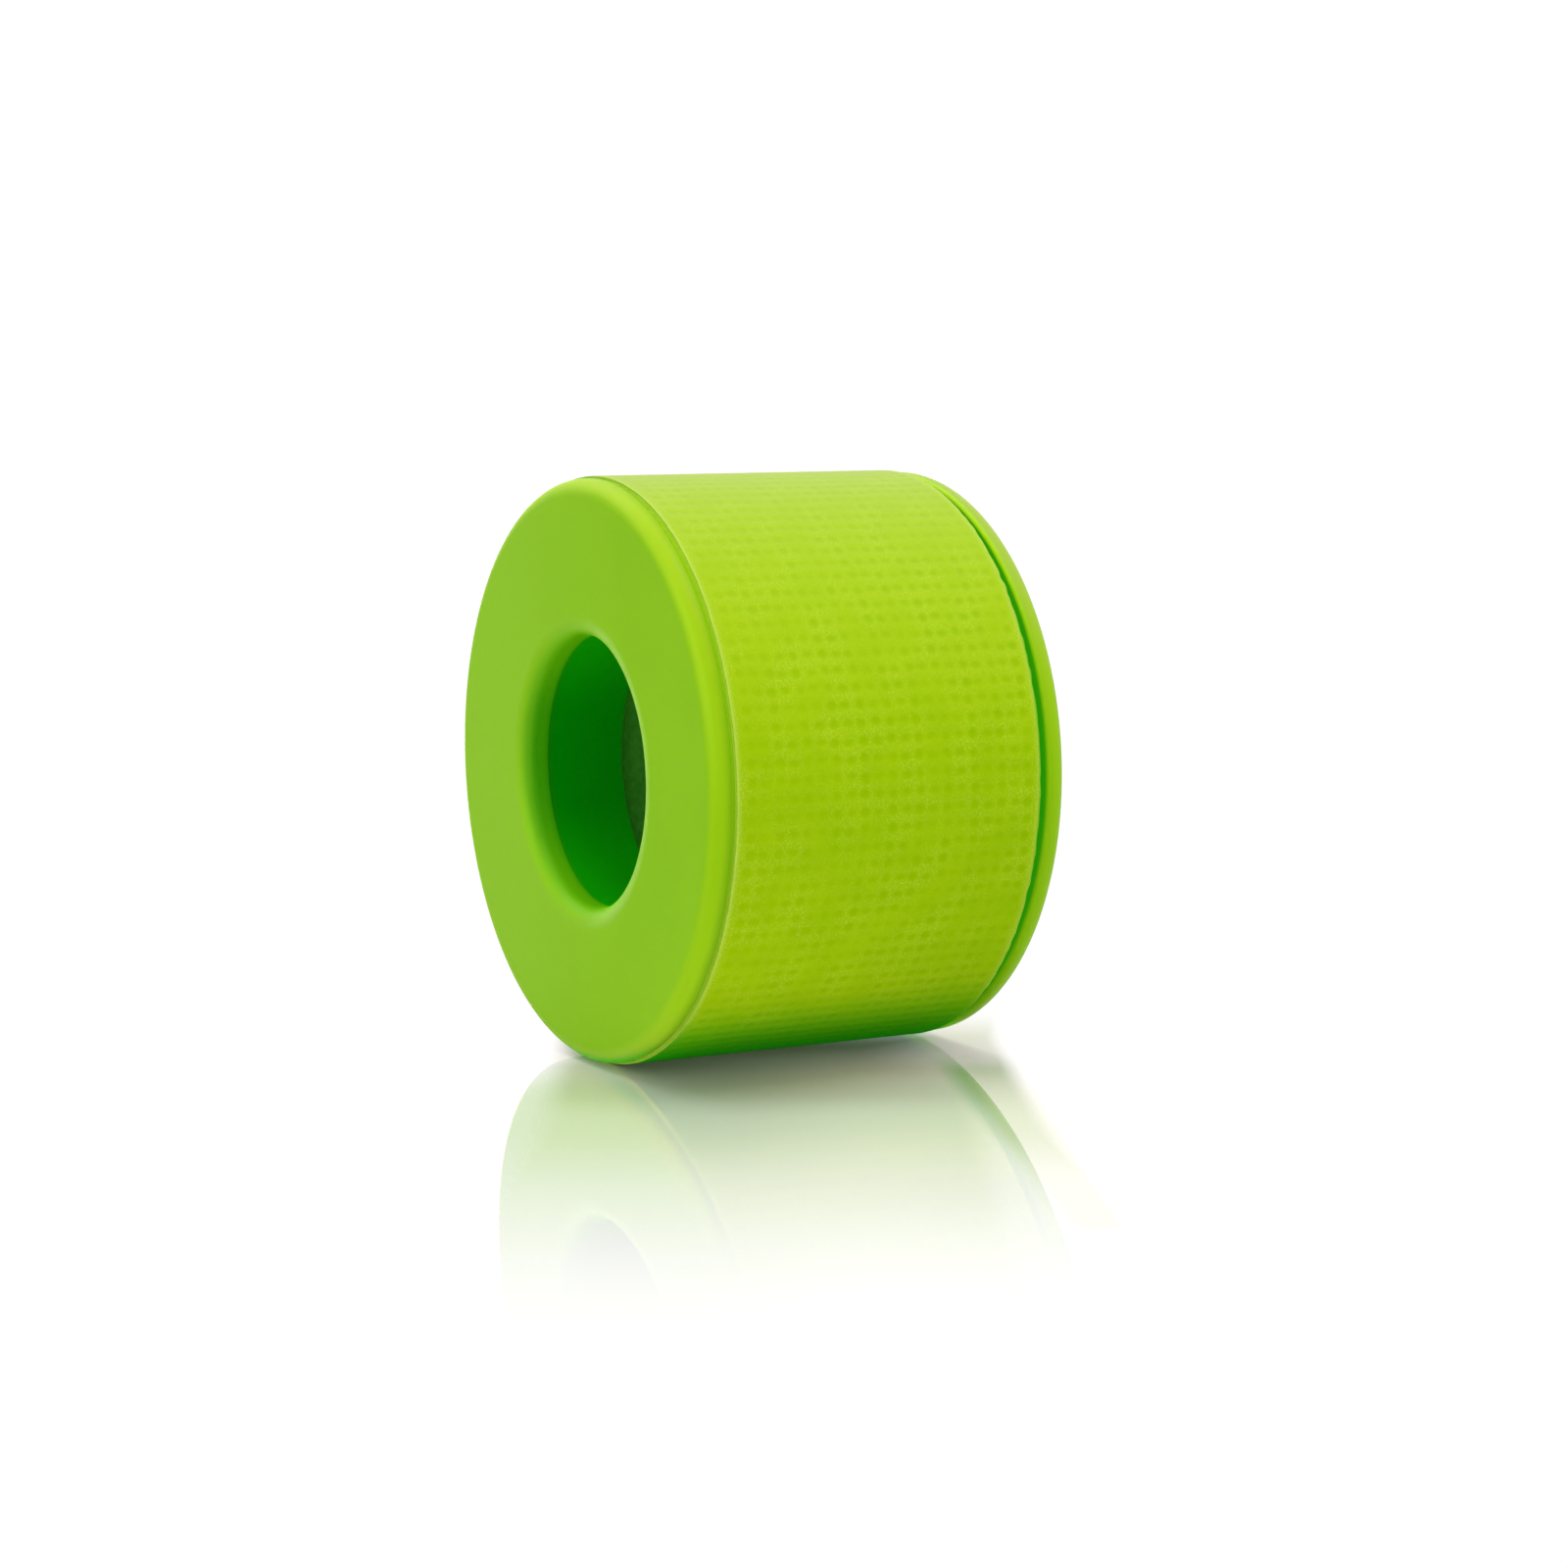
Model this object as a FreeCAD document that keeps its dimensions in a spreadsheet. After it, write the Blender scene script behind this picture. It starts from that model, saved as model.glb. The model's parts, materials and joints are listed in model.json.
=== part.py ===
"""Roll of 25 mm adhesive tape on a plug-together spool.

Two identical flanged caps push into the ends of a paperboard core. The tape is
wound on the core, between the flanges, and its free end lies along the -X side.

Frame: the spool lies on its side with its axis along Y, +Z is up, and the
origin is on the axis, half way between the outer faces of the two caps. The
front cap is at -Y. Millimetres and degrees.
"""

import FreeCAD, Part
import Sketcher
import os

from FreeCAD import Placement, Rotation, Vector

doc = FreeCAD.newDocument("tape_spool")

# ---------------------------------------------------------------- dimensions

# alias, value or formula, note
DIMENSIONS = [
    # flanged cap, depths measured from its outer face
    ("flange_radius", 21.8, "outside radius of the flange"),
    ("flange_thick", 1.7, "thickness of the flange"),
    ("rim_round", 1.25, "round between the rim and the outer face"),
    ("rim_inner_round", 0.4, "round between the rim and the inner face"),
    ("bore_radius", 10.2, "radius of the land in the mouth of the bore"),
    ("mouth_round", 1.3, "round between the outer face and the bore"),
    ("land_depth", 2.3, "depth of the end of the land"),
    ("plug_bore_near", 10.4, "bore of the plug just behind the land"),
    ("plug_bore_far", 10.5, "bore of the plug at its end, opened by the draft"),
    ("plug_radius", 11.25, "outside radius of the plug"),
    ("plug_length", 7.2, "length of the plug beyond the flange"),
    ("plug_end", "=flange_thick + plug_length", "depth of the plug's end"),
    ("plug_end_round", 0.25, "round on the inner edge of the plug's end"),
    ("plug_end_bevel", 0.35, "lead-in bevel on the outer edge of the plug's end"),
    ("plug_root_round", 0.3, "round where the plug meets the flange"),
    # crush ribs on the plug
    ("rib_radius", 11.42, "radius to the top of a rib"),
    ("rib_sink", 0.3, "overlap of a rib with the plug wall"),
    ("rib_foot", "=plug_radius - rib_sink", "radius to the foot of a rib"),
    ("rib_width", 0.8, "width of a rib"),
    ("rib_start", 2.2, "depth of the start of a rib"),
    ("rib_end", 7.6, "depth of the end of a rib"),
    ("rib_lead", 1.2, "length of the ramp at the end of a rib"),
    ("rib_ramp", "=rib_end - rib_lead", "depth of the start of the ramp"),
    ("rib_count", 6, "number of ribs"),
    # paperboard core
    ("core_inner", 11.45, "inside radius of the core"),
    ("core_outer", 13.0, "outside radius of the core"),
    ("core_length", 25.8, "length of the core"),
    ("core_bevel", 0.15, "broken edge on the core's cut ends"),
    # tape
    ("tape_width", 25.0, "width of the tape"),
    ("tape_radius", 21.98, "outside radius of the wound tape at the peel line"),
    ("tape_thick", 0.2, "thickness of the tape, backing and adhesive"),
    ("half_thick", "=tape_thick / 2", "offset between the centres of a turn's half circles"),
    ("adhesive_thick", 0.08, "thickness of the silicone adhesive"),
    ("wound_radius", "=tape_radius - tape_thick", "radius under the outer turn at the peel line"),
    ("adhesive_top", "=wound_radius + adhesive_thick", "adhesive meets backing, at the peel line"),
    ("front_gap", 0.03, "gap between the tape and the front flange"),
    ("peel_line", 150.0, "angle of the peel line, from +X towards +Z"),
    # free end, radii about its own centre
    ("end_arc", 60.0, "arc from the peel line to the tip"),
    ("root_gap", 0.8, "arc left open between the free end and the peel line"),
    ("free_arc", "=end_arc - root_gap", "arc the free end covers"),
    ("lift_gap", 0.01, "clearance under the free end"),
    ("free_inner", "=tape_radius - half_thick + lift_gap", "underside of the adhesive"),
    ("free_joint", "=tape_radius - half_thick + adhesive_thick", "adhesive meets backing"),
    ("free_outer", "=tape_radius + half_thick", "outside of the backing"),
    # places of the bodies
    ("front_cap_y", "=-(core_length / 2 + flange_thick)", "outer face of the front cap"),
    ("rear_cap_y", "=core_length / 2 + flange_thick", "outer face of the rear cap"),
    ("core_y", "=-core_length / 2", "front end of the core"),
    ("tape_y", "=-(core_length / 2 - front_gap)", "front edge of the tape"),
    ("free_x", "=-half_thick * cos(peel_line * 1 deg)", "centre of the free end, along X"),
    ("free_z", "=-half_thick * sin(peel_line * 1 deg)", "centre of the free end, along Z"),
    ("peel_turn", "=360 - peel_line", "turn about +Y that takes +X to the peel line"),
    ("tip_turn", "=peel_turn - end_arc", "turn about +Y that takes +X to the tip"),
]

sheet = doc.addObject("Spreadsheet::Sheet", "dims")
sheet.Label = "dims"
for row, (alias, content, note) in enumerate(DIMENSIONS, start=1):
    sheet.set("A%d" % row, alias)
    sheet.set("B%d" % row, str(content))
    sheet.set("C%d" % row, note)
    sheet.setAlias("B%d" % row, alias)
doc.recompute()


def dim(alias):
    """Value of a cell of the sheet. A plain 0 stands for zero."""
    return float(sheet.get(alias)) if alias else 0.0


def drive(feature, prop, alias):
    """Sets a property from a cell and binds it to that cell."""
    setattr(feature, prop, dim(alias))
    feature.setExpression(prop, "dims." + alias)


# ------------------------------------------------------------ sketch helpers

# Sketcher's codes for the points of a curve and for the sketch's own x axis,
# whose start is the sketch's origin
START, END, CENTRE = 1, 2, 3
X_AXIS = -1
ORIGIN = (X_AXIS, START)


def origin_feature(body, role):
    """The body's own origin plane or axis with that role."""
    return [f for f in body.Origin.OriginFeatures if f.Role == role][0]


def new_body(label):
    body = doc.addObject("PartDesign::Body", label)
    body.Label = label
    return body


def new_sketch(body, name, plane):
    sketch = body.newObject("Sketcher::SketchObject", name)
    sketch.AttachmentSupport = [(origin_feature(body, plane), "")]
    sketch.MapMode = "FlatFace"
    return sketch


def constrain(sketch, kind, *items):
    return sketch.addConstraint(Sketcher.Constraint(kind, *items))


def constrain_size(sketch, name, alias, kind, *items):
    """Named constraint whose value is bound to a cell."""
    index = constrain(sketch, kind, *items, dim(alias))
    sketch.renameConstraint(index, name)
    sketch.setExpression("Constraints." + name, "dims." + alias)


def add_line(sketch, start, end):
    return sketch.addGeometry(Part.LineSegment(Vector(*start), Vector(*end)), False)


def polygon(sketch, corners):
    """Closed polygon. Each corner is (x alias, y alias), and y may be 0."""
    points = [(dim(x), dim(y), 0) for x, y in corners]
    count = len(points)
    for i in range(count):
        add_line(sketch, points[i], points[(i + 1) % count])
    for i in range(count):
        constrain(sketch, "Coincident", i, END, (i + 1) % count, START)
    for i, (x, y) in enumerate(corners):
        constrain_size(sketch, "p%d_X" % i, x, "DistanceX", *ORIGIN, i, START)
        if y:
            constrain_size(sketch, "p%d_Y" % i, y, "DistanceY", *ORIGIN, i, START)
        else:
            constrain(sketch, "PointOnObject", i, START, X_AXIS)


# ----------------------------------------------------------- feature helpers


def revolve(body, profile, name, arc=None):
    """Turns a profile about its vertical axis, through an arc's cell or a full turn."""
    turned = body.newObject("PartDesign::Revolution", name)
    turned.Profile = profile
    turned.ReferenceAxis = (profile, ["V_Axis"])
    if arc:
        drive(turned, "Angle", arc)
    else:
        turned.Angle = 360.0
    body.Tip = turned
    doc.recompute()
    return turned


def circle_edges(shape, radius, y, tolerance=1e-4):
    """Names of the shape's circular edges of that radius at that place along Y."""
    names = []
    for i, edge in enumerate(shape.Edges, start=1):
        curve = edge.Curve
        if (
            isinstance(curve, Part.Circle)
            and abs(curve.Radius - radius) < tolerance
            and abs(curve.Center.y - y) < tolerance
        ):
            names.append("Edge%d" % i)
    return names


def dress(body, kind, name, base, rings, size):
    """Fillet or chamfer on circular edges of the base, given as (radius alias, y alias)."""
    edges = []
    for radius, y in rings:
        edges += circle_edges(base.Shape, dim(radius), dim(y))
    if not edges:
        raise RuntimeError("%s: no edge found for %s" % (body.Label, name))
    feature = body.newObject("PartDesign::" + kind, name)
    feature.Base = (base, edges)
    drive(feature, "Radius" if kind == "Fillet" else "Size", size)
    doc.recompute()
    return feature


def seat(body, rotation=Rotation(), **cells):
    """Places a body. The cells x, y and z give its base, and a missing one is zero."""
    base = Vector(*(dim(cells.get(axis, 0)) for axis in "xyz"))
    body.Placement = Placement(base, rotation)
    for axis, alias in cells.items():
        body.setExpression("Placement.Base." + axis, "dims." + alias)


def seat_tape(body, turn, **cells):
    """Turns a piece of tape about the spool's axis and sets it between the flanges."""
    seat(body, Rotation(Vector(0, 1, 0), dim(turn)), y="tape_y", **cells)
    body.setExpression("Placement.Rotation.Angle", "dims." + turn)


# -------------------------------------------------------------- flanged caps

CAP_PROFILE = [
    ("bore_radius", 0),
    ("flange_radius", 0),
    ("flange_radius", "flange_thick"),
    ("plug_radius", "flange_thick"),
    ("plug_radius", "plug_end"),
    ("plug_bore_far", "plug_end"),
    ("plug_bore_near", "land_depth"),
    ("bore_radius", "land_depth"),
]

# kind, size, radius of the edge, depth of the edge; in the order they are cut
CAP_EDGES = [
    ("Fillet", "rim_round", "flange_radius", 0),
    ("Fillet", "rim_inner_round", "flange_radius", "flange_thick"),
    ("Fillet", "mouth_round", "bore_radius", 0),
    ("Fillet", "plug_root_round", "plug_radius", "flange_thick"),
    ("Fillet", "plug_end_round", "plug_bore_far", "plug_end"),
    ("Chamfer", "plug_end_bevel", "plug_radius", "plug_end"),
]

RIB_SIDE = [
    ("rib_foot", "rib_start"),
    ("rib_radius", "rib_start"),
    ("rib_radius", "rib_ramp"),
    ("plug_radius", "rib_end"),
    ("rib_foot", "rib_end"),
]

MIN_RIB_VOLUME = 1.0  # least volume, in cubic millimetres, that the ribs must add


def add_ribs(body):
    """Crush ribs round the plug, that grip the inside of the core."""
    label = body.Label
    side = new_sketch(body, label + "_rib_side", "XY_Plane")
    polygon(side, RIB_SIDE)
    rib = body.newObject("PartDesign::Pad", label + "_rib")
    rib.Profile = side
    drive(rib, "Length", "rib_width")
    rib.SideType = "Symmetric"
    doc.recompute()

    ribs = body.newObject("PartDesign::PolarPattern", label + "_ribs")
    ribs.Originals = [rib]
    ribs.Axis = (origin_feature(body, "Y_Axis"), [""])
    ribs.Angle = 360.0
    ribs.Occurrences = int(dim("rib_count"))
    ribs.setExpression("Occurrences", "dims.rib_count")
    body.Tip = ribs
    doc.recompute()


def flanged_cap(label):
    """One cap, in its own frame: outer face on y = 0, plug towards +Y, axis Y."""
    body = new_body(label)
    profile = new_sketch(body, label + "_profile", "XY_Plane")
    polygon(profile, CAP_PROFILE)
    step = revolve(body, profile, label + "_turned")
    for kind, size, radius, depth in CAP_EDGES:
        step = dress(body, kind, label + "_" + size, step, [(radius, depth)], size)

    plain_volume = step.Shape.Volume
    add_ribs(body)
    if not body.Shape.Volume > plain_volume + MIN_RIB_VOLUME:
        raise RuntimeError(label + ": the ribs added nothing")
    return body


# ----------------------------------------------------------- paperboard core


def paperboard_core():
    """Tube with both edges of each end bevelled, centred between the caps."""
    body = new_body("core_tube")
    wall = new_sketch(body, "core_wall", "XY_Plane")
    polygon(
        wall,
        [
            ("core_inner", 0),
            ("core_outer", 0),
            ("core_outer", "core_length"),
            ("core_inner", "core_length"),
        ],
    )
    turned = revolve(body, wall, "core_turned")
    rings = [(radius, y) for radius in ("core_inner", "core_outer") for y in (0, "core_length")]
    body.Tip = dress(body, "Chamfer", "core_bevel", turned, rings, "core_bevel")
    seat(body, y="core_y")
    return body


# ---------------------------------------------------------------- wound tape
#
# Each turn of the tape is a spiral drawn with two half circles. With the peel
# line on the sketch's +x axis, the lower half has its centre on the spool's
# axis. The upper half has its centre half a tape thickness towards -x and a
# radius smaller by the same amount, so that after a whole turn the radius has
# fallen by one thickness.


def add_arc(sketch, x, radius, start, end):
    """Arc centred on the sketch's x axis, with start and end in half turns."""
    half_turn = FreeCAD.Units.Quantity("180 deg").getValueAs("rad").Value
    circle = Part.Circle(Vector(x, 0, 0), Vector(0, 0, 1), radius)
    return sketch.addGeometry(Part.ArcOfCircle(circle, start * half_turn, end * half_turn), False)


def spiral_turn(sketch, outer, name):
    """Turn whose radius at the peel line is the cell outer. Returns (lower, upper)."""
    radius, shift = dim(outer), dim("half_thick")
    lower = add_arc(sketch, 0, radius, 1, 2)
    upper = add_arc(sketch, -shift, radius - shift, 0, 1)
    constrain(sketch, "Coincident", lower, CENTRE, *ORIGIN)
    constrain_size(sketch, name + "_radius", outer, "Radius", lower)
    constrain(sketch, "PointOnObject", lower, START, X_AXIS)
    constrain(sketch, "PointOnObject", lower, END, X_AXIS)
    constrain(sketch, "PointOnObject", upper, CENTRE, X_AXIS)
    constrain_size(sketch, name + "_shift", "half_thick", "DistanceX", upper, CENTRE, *ORIGIN)
    constrain(sketch, "Coincident", upper, END, lower, START)
    constrain(sketch, "PointOnObject", upper, START, X_AXIS)
    return lower, upper


def join_ends(sketch, inner_end, inner_x, outer_end, outer_x):
    """Line on the peel line between two curve ends, each (curve, point)."""
    line = add_line(sketch, (inner_x, 0, 0), (outer_x, 0, 0))
    constrain(sketch, "Coincident", line, START, *inner_end)
    constrain(sketch, "Coincident", line, END, *outer_end)


def tape_pad(body, sketch, name):
    """Extrudes a tape section over the tape's width, towards +Y."""
    pad = body.newObject("PartDesign::Pad", name)
    pad.Profile = sketch
    drive(pad, "Length", "tape_width")
    pad.Reversed = True
    body.Tip = pad
    doc.recompute()


def wound_turns():
    """Every turn under the outer one, as one solid from the core out."""
    body = new_body("wound_tape")
    section = new_sketch(body, "wound_section", "XZ_Plane")
    lower, upper = spiral_turn(section, "wound_radius", "wound")
    radius = dim("wound_radius")
    join_ends(section, (upper, START), radius - dim("tape_thick"), (lower, END), radius)

    circle = Part.Circle(Vector(0, 0, 0), Vector(0, 0, 1), dim("core_outer"))
    hole = section.addGeometry(circle, False)
    constrain(section, "Coincident", hole, CENTRE, *ORIGIN)
    constrain_size(section, "hole_radius", "core_outer", "Radius", hole)
    tape_pad(body, section, "wound_pad")
    seat_tape(body, "peel_turn")
    return body


def outer_layer(label, inner, outer):
    """One layer of the outer turn: a strip a whole turn long between two spirals."""
    body = new_body(label)
    section = new_sketch(body, label + "_section", "XZ_Plane")
    inner_lower, inner_upper = spiral_turn(section, inner, "inner")
    outer_lower, outer_upper = spiral_turn(section, outer, "outer")
    inner_x, outer_x, thick = dim(inner), dim(outer), dim("tape_thick")
    join_ends(section, (inner_upper, START), inner_x - thick, (outer_upper, START), outer_x - thick)
    join_ends(section, (inner_lower, END), inner_x, (outer_lower, END), outer_x)
    tape_pad(body, section, label + "_pad")
    seat_tape(body, "peel_turn")
    return body


# ------------------------------------------------------------------ free end


def free_end_layer(label, inner, outer):
    """One layer of the last stretch of the tape, between the peel line and its tip.

    It lies just clear of the outer turn, on the centre of the half circle under
    it. The sweep starts at the tip and runs back towards the peel line.
    """
    body = new_body(label)
    strip = new_sketch(body, label + "_strip", "XY_Plane")
    polygon(strip, [(inner, 0), (outer, 0), (outer, "tape_width"), (inner, "tape_width")])
    revolve(body, strip, label + "_swept", arc="free_arc")
    seat_tape(body, "tip_turn", x="free_x", z="free_z")
    return body


# ----------------------------------------------------------- build and write

front_cap = flanged_cap("front_cap")
seat(front_cap, y="front_cap_y")

# the same moulding turned end for end; with six ribs, its ribs line up with the front cap's
rear_cap = flanged_cap("rear_cap")
seat(rear_cap, Rotation(Vector(0, 0, 1), 180), y="rear_cap_y")

parts = [
    front_cap,
    rear_cap,
    paperboard_core(),
    wound_turns(),
    outer_layer("outer_turn_adhesive", "wound_radius", "adhesive_top"),
    outer_layer("outer_turn_backing", "adhesive_top", "tape_radius"),
    free_end_layer("free_end_adhesive", "free_inner", "free_joint"),
    free_end_layer("free_end_backing", "free_joint", "free_outer"),
]

doc.recompute()

for item in doc.Objects:
    if "Invalid" in item.State or "Error" in item.State:
        raise RuntimeError("%s failed to recompute: %s" % (item.Label, item.State))

os.makedirs("parts", exist_ok=True)
for part in parts:
    shape = part.Shape
    if shape.isNull() or not shape.isValid() or not shape.Solids:
        raise RuntimeError("%s has no valid solid" % part.Label)
    shape.exportStep(os.path.join("parts", part.Label + ".step"))
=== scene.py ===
"""A roll of embossed tape on a paperboard core between two green spool caps.

The spool's axis is y through the origin, with the front towards -y and +z up. Angles run round
the axis from +x towards +z. The tape's outer turn starts at the peel line, goes once round and
overlaps itself as a free end. Sizes are in millimetres unless a comment says metres.
"""
import json
import math

import bpy
import numpy as np
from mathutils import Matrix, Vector


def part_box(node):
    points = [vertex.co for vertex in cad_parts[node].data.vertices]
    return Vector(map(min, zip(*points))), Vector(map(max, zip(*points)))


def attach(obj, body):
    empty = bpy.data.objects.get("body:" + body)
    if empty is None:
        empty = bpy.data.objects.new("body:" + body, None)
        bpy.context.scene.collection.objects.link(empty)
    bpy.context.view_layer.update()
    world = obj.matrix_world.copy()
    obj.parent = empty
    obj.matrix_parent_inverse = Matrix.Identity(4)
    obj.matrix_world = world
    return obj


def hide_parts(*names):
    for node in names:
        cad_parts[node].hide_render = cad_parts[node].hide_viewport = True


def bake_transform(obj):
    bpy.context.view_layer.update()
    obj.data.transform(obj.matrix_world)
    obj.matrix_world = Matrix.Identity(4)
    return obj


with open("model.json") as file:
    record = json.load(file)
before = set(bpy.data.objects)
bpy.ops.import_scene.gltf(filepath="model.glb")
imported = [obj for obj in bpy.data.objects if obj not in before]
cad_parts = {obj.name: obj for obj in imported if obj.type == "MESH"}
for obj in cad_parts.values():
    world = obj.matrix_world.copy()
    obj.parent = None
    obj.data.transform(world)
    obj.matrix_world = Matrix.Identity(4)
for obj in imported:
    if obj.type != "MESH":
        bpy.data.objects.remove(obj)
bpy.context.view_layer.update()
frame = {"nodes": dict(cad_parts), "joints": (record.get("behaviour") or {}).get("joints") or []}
scene = bpy.context.scene
MM = 0.001
TURN = 2 * math.pi

# ---------------------------------------------------------------- sizes

turn_low, turn_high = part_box("outer_turn_backing")
core_low, core_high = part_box("core_tube")

ROLL_R = turn_high.x / MM  # outside radius of the roll on its full side
TAPE_FRONT, TAPE_REAR = turn_low.y / MM, turn_high.y / MM
WIDTH = TAPE_REAR - TAPE_FRONT
FLOOR_Z = turn_low.z / MM
CORE_R = core_high.x / MM
CORE_FRONT, CORE_REAR = core_low.y / MM, core_high.y / MM

hinge = next(j for j in frame["joints"] if j["name"] == "free_end_peel")["pos_m"]
PEEL = math.radians(round(math.degrees(math.atan2(hinge[2], hinge[0]))))  # angle of the peel line
THICK, GLUE = 0.2, 0.08  # the whole tape, and the adhesive in it
BACKING = THICK - GLUE
FREE_ARC = math.radians(60)  # free end past the peel line
LAP = math.radians(10)  # the free end's strip starts this far before the peel line
GAP = 0.012  # between the outer turn and the free end's strip

ROWS = 108  # emboss rows round the roll
DOT_COLUMNS = 40  # emboss columns in the dot tables, wider than the tape
PITCH_Y = 1.14  # emboss columns across the tape
PER_ROW, PER_COLUMN = 8, 8  # mesh steps in one emboss pitch

# ---------------------------------------------------------------- seeded noise on the tape


def wave_field(seed, count, around, across):
    """Smooth noise of angle and y with a spread near 1, which repeats after a turn.

    around and across are the ranges of the waves' frequencies, per turn and along y.
    """
    rng = np.random.RandomState(seed)
    turn_waves = rng.randint(around[0], around[1] + 1, count)
    y_waves = rng.uniform(*across, count) * rng.choice([-1, 1], count)
    phases = rng.uniform(0, TURN, count)

    def field(angle, y):
        total = np.zeros(np.broadcast(angle, y).shape)
        for turn_wave, y_wave, phase in zip(turn_waves, y_waves, phases):
            total = total + np.cos(turn_wave * angle + y_wave * y + phase)
        return total / math.sqrt(count / 2)

    return field


patch_field = wave_field(seed=3, count=26, around=(2, 34), across=(0.1, 1.9))
fibre_field = wave_field(seed=5, count=40, around=(60, 320), across=(2.0, 14.0))
edge_field = wave_field(seed=9, count=24, around=(3, 120), across=(0.0, 0.001))
dot_rng = np.random.RandomState(21)
DOT_JITTER = dot_rng.uniform(-1, 1, (ROWS, DOT_COLUMNS, 2)) * 0.07  # in pitches: around, across
DOT_DEPTH = dot_rng.uniform(0.78, 1.12, (ROWS, DOT_COLUMNS))
# size around, size across and depth of the two kinds of dot
ROUND_DOT = (0.31, 0.31, 1.0)
LONG_DOT = (0.27, 0.38, 0.82)


def emboss(angle, y):
    """Emboss depth, 0 to about 1. Columns of round and long dots take turns across the tape."""
    row = (angle % TURN) / TURN * ROWS
    column = (y - (TAPE_FRONT + TAPE_REAR) / 2) / PITCH_Y + DOT_COLUMNS / 2
    total = np.zeros(np.broadcast(row, column).shape)
    near_row, near_column = np.floor(row + 0.5).astype(int), np.floor(column + 0.5).astype(int)
    for i in (-1, 0, 1):
        for j in (-1, 0, 1):
            dot_row = near_row + i
            dot_column = np.clip(near_column + j, 0, DOT_COLUMNS - 1)
            cell = dot_row % ROWS, dot_column
            jitter = DOT_JITTER[cell]
            off_around = (row - dot_row - jitter[..., 0]) * (TURN * ROLL_R / ROWS)
            off_across = (column - dot_column - jitter[..., 1]) * PITCH_Y
            is_round = dot_column % 2 == 0
            size_around, size_across, depth = (
                np.where(is_round, *pair) for pair in zip(ROUND_DOT, LONG_DOT))
            spread = (off_around / size_around) ** 2 + (off_across / size_across) ** 2
            bowl = np.exp(-0.5 * spread * (1 + 0.15 * spread))  # flatter-sided than a Gaussian
            total = total + depth * DOT_DEPTH[cell] * bowl
    # patches press up to 24 % shallower
    firm = 0.5 + 0.5 * np.tanh(0.5 + 0.75 * patch_field(angle, y))
    return total * (0.76 + 0.24 * firm)


# ---------------------------------------------------------------- the roll's spiral


def spiral(phi):
    """Outside radius of the outer turn at phi past the peel line, within one turn."""
    shift = THICK / 2  # the first half turn is a circle moved by half the tape's thickness
    first = -shift * np.cos(phi) + np.sqrt((ROLL_R - shift) ** 2 - (shift * np.sin(phi)) ** 2)
    return np.where(phi <= math.pi, first, ROLL_R)


def strip_radius(phi):
    """Outside radius of the tape from its last turn's start, round, to the free tip."""
    over = phi > TURN
    lapped = spiral(np.where(over, phi - TURN, 0.0)) + THICK
    return np.where(over, lapped, spiral(np.minimum(phi, TURN)))


# ---------------------------------------------------------------- mesh tools


def sweep(name, angle, radius, y, attributes, uv, closed=True, sharp=35):
    """Mesh of a closed profile swept round the axis, with its attributes and its "flat" UV map.

    radius and y have one row for each angle and one column for each profile point.
    A sweep that isn't closed gets a face at each end.
    """
    slices, points = radius.shape
    turned = angle[:, None]
    verts = np.stack([radius * np.cos(turned), y, radius * np.sin(turned)], -1).reshape(-1, 3) * MM
    here = np.arange(slices if closed else slices - 1)[:, None] * points
    ahead = (here + points) % (slices * points)
    point = np.arange(points)
    beside = (point + 1) % points
    quads = np.stack([here + point, ahead + point, ahead + beside, here + beside], -1)
    faces = quads.reshape(-1, 4).tolist()
    if not closed:
        faces.append(list(range(points)))
        faces.append([(slices - 1) * points + j for j in range(points - 1, -1, -1)])

    mesh = bpy.data.meshes.new(name)
    mesh.from_pydata(verts.tolist(), [], faces)
    mesh.validate()
    mesh.polygons.foreach_set("use_smooth", np.ones(len(mesh.polygons), bool))
    mesh.set_sharp_from_angle(angle=math.radians(sharp))
    mesh.update()
    obj = bpy.data.objects.new(name, mesh)
    scene.collection.objects.link(obj)

    def flat(values):
        return np.broadcast_to(values, radius.shape).ravel()

    for key, values in attributes.items():
        attribute = mesh.attributes.new(key, "FLOAT", "POINT")
        attribute.data.foreach_set("value", flat(values).astype(np.float32))
    layer = mesh.uv_layers.new(name="flat")
    index = np.zeros(len(mesh.loops), np.int32)
    mesh.loops.foreach_get("vertex_index", index)
    pairs = np.stack([flat(values)[index] for values in uv], 1)
    layer.data.foreach_set("uv", pairs.astype(np.float32).ravel())
    return obj


def give(obj, material):
    obj.data.materials.clear()
    obj.data.materials.append(material)


def fit(obj, material, replaced, rides=True):
    """Give a piece its material, hang it on the wound roll's body if it rides, and hide the CAD
    part it replaces.
    """
    give(obj, material)
    if rides:
        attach(obj, "wound_roll")
    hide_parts(replaced)


# ---------------------------------------------------------------- shader tools


class Signal:
    """An output of a shader node. Arithmetic on it adds math nodes."""

    def __init__(self, graph, socket):
        self.graph = graph
        self.socket = socket

    def __add__(self, other):
        return self.graph.math("ADD", self, other)

    def __sub__(self, other):
        return self.graph.math("SUBTRACT", self, other)

    def __rsub__(self, other):
        return self.graph.math("SUBTRACT", other, self)

    def __mul__(self, other):
        return self.graph.math("MULTIPLY", self, other)

    def __abs__(self):
        return self.graph.math("ABSOLUTE", self)

    def max(self, other):
        return self.graph.math("MAXIMUM", self, other)

    def ramp(self, over, to=(0, 1)):
        """Smooth step between the values of to while this goes between the values of over."""
        return self.graph.value("MapRange", {
            "Value": self, "From Min": over[0], "From Max": over[1],
            "To Min": to[0], "To Max": to[1],
        }, interpolation_type="SMOOTHSTEP", clamp=True)

    def toward(self, colour, share):
        return self.graph.mix(share, self, colour)


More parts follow.
